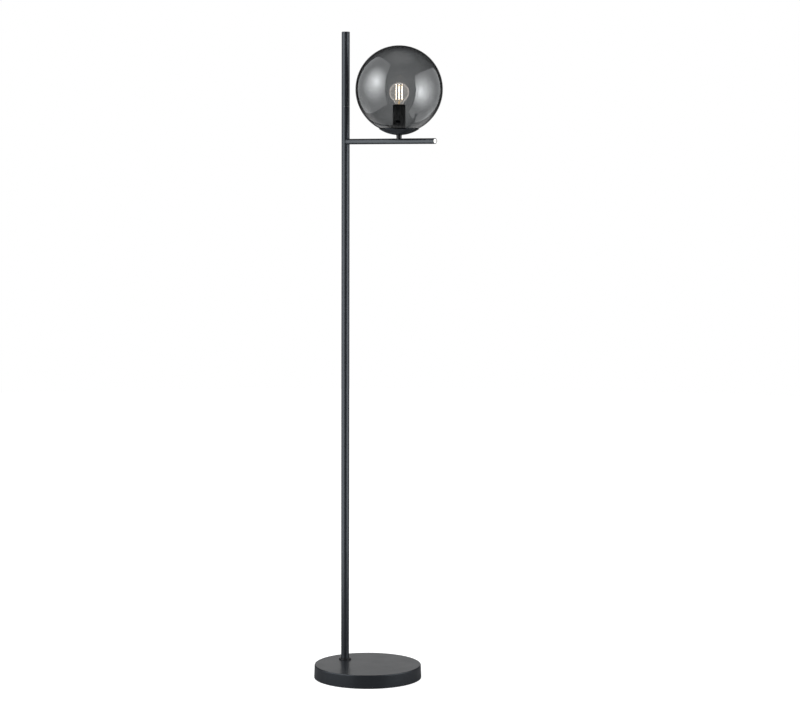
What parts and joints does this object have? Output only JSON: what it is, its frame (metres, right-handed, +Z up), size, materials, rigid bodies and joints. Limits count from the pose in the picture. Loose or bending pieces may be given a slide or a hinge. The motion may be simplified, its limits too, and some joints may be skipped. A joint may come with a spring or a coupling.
{
  "type": "globe floor lamp",
  "caption": "Slim floor lamp: weighted round foot, off-centre pole, level arm, shallow dish with a smoked-glass globe over a clear filament bulb in a black lampholder.",
  "frame": {"origin": "centre of the foot's underside on the floor", "axes": "+Z up, +X along the arm from the pole towards its free end, Y across"},
  "size_m": [0.3358, 0.253, 1.515],
  "materials": {
    "powder_coat": "fine matt charcoal powder coat",
    "black_gloss": "glossy black lacquer",
    "polished_end": "polished",
    "smoked_glass": "smoked, clear, polished",
    "clear_glass": "clear",
    "phenolic": "black satin moulding",
    "natural_nylon": "natural white moulding",
    "brass": "bright",
    "tinned": "bright plated",
    "iron": "black dip paint over the cast skin",
    "zinc_steel": "zinc plated",
    "spring_steel": "hardened, darkened",
    "soft_black": "matt",
    "core_brown": "insulation",
    "earth_green": "insulation, green with a yellow stripe",
    "board_green": "lacquered board",
    "filament": "warm white phosphor, lit"
  },
  "bodies": {
    "stand": {"base_pad": "soft_black", "base_cover": "powder_coat", "base_weight": "iron", "service_plate": "zinc_steel", "service_screws": "zinc_steel", "cord_inlet": "phenolic", "cord_clamp": "phenolic", "chamber_screws": "zinc_steel", "terminal_block": "natural_nylon", "terminal_tubes": "brass", "terminal_screws": "zinc_steel", "earth_screw": "zinc_steel", "earth_tag": "tinned", "earth_wire": "earth_green", "foot_collar": "black_gloss", "pole_foot_plug": "zinc_steel", "foot_nipple": "zinc_steel", "foot_washer": "zinc_steel", "foot_nut": "zinc_steel", "pole_tube": "powder_coat", "pole_joint_stud": "zinc_steel", "pole_top_tube": "powder_coat", "pole_top_cap": "powder_coat", "arm_tube": "powder_coat", "arm_end_plug": "polished_end", "neck": "black_gloss", "neck_nipple": "zinc_steel", "dish": "powder_coat", "dish_washer": "zinc_steel", "dish_nut": "zinc_steel", "spring_spider": "spring_steel", "seat_ring": "soft_black", "holder_base": "phenolic", "holder_shell": "phenolic", "holder_core": "phenolic", "holder_contact_shell": "brass", "holder_centre_contact": "brass", "holder_terminals": "brass", "inner_lead": "soft_black", "lead_cores": "core_brown"},
    "globe": {"glass_globe": "smoked_glass"},
    "bulb": {"bulb_glass": "clear_glass", "bulb_cap": "tinned", "bulb_cap_insulator": "phenolic", "bulb_cap_tip": "tinned", "bulb_driver": "board_green", "bulb_stem": "clear_glass", "bulb_filaments": "filament", "bulb_wires": "brass"}
  },
  "joints": [
    {"name": "globe_lift", "type": "slide", "parent": "stand", "child": "globe", "axis": [0, 0, 1], "range_m": [0, 0.125], "deforming": ["spring_spider"]},
    {"name": "bulb_unscrew", "type": "slide", "parent": "stand", "child": "bulb", "axis": [0, 0, 1], "range_m": [0, 0.032]}
  ]
}
